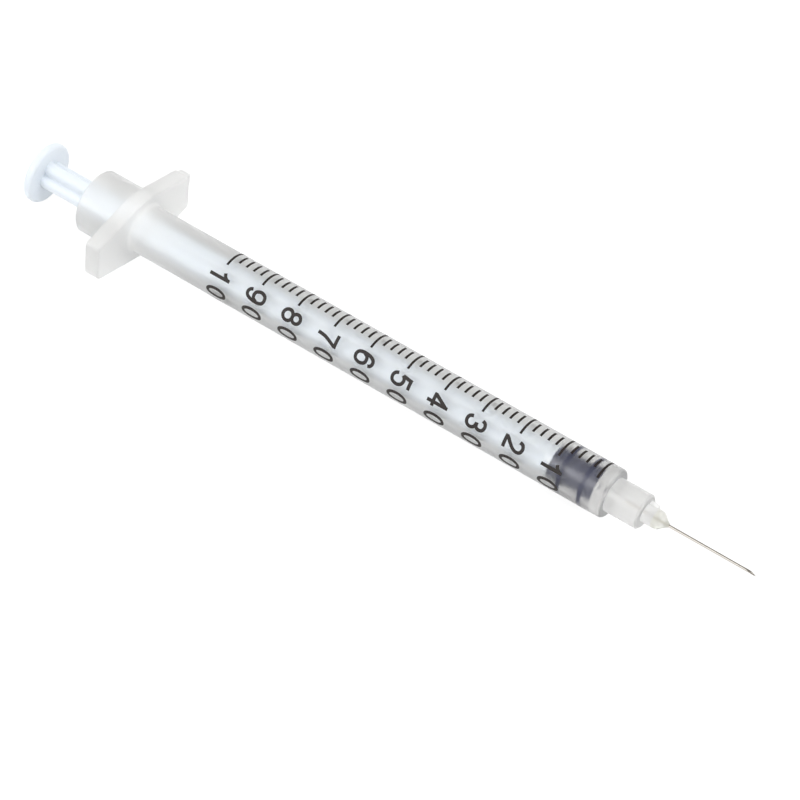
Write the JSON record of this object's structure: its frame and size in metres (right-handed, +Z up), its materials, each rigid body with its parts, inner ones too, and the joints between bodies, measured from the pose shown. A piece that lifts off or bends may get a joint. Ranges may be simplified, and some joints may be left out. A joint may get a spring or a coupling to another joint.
{
  "type": "insulin syringe",
  "caption": "Slim clear 1 ml insulin syringe with a fixed fine needle, a finger flange and a ribbed sliding plunger.",
  "frame": {"origin": "on the syringe's axis, in the front face of the barrel, at the foot of the hub that the needle cover grips", "axes": "+X along the axis to the needle's point, Y along the finger flange, +Z up as it lies on a table"},
  "size_m": [0.112, 0.0194, 0.009],
  "materials": {
    "barrel": "clear moulded polypropylene, glossy, frosted at the flange and collar",
    "plunger_rod": "bluish white moulded polypropylene, satin",
    "stopper": "slate blue rubber, wetted with silicone oil",
    "needle": "drawn and polished stainless steel",
    "needle_adhesive": "cured adhesive, pale yellow green, glossy"
  },
  "bodies": {
    "barrel": {"barrel": "barrel", "needle": "needle", "needle_adhesive": "needle_adhesive"},
    "stopper": {"stopper": "stopper"},
    "plunger": {"plunger_rod": "plunger_rod"}
  },
  "joints": [
    {"name": "plunger_slide", "type": "slide", "parent": "barrel", "child": "stopper", "axis": [-1, 0, 0], "range_m": [0, 0.065]},
    {"name": "plunger_spin", "type": "hinge", "parent": "stopper", "child": "plunger", "pos_m": [-0.05, 0, 0], "axis": [1, 0, 0], "continuous": true}
  ]
}
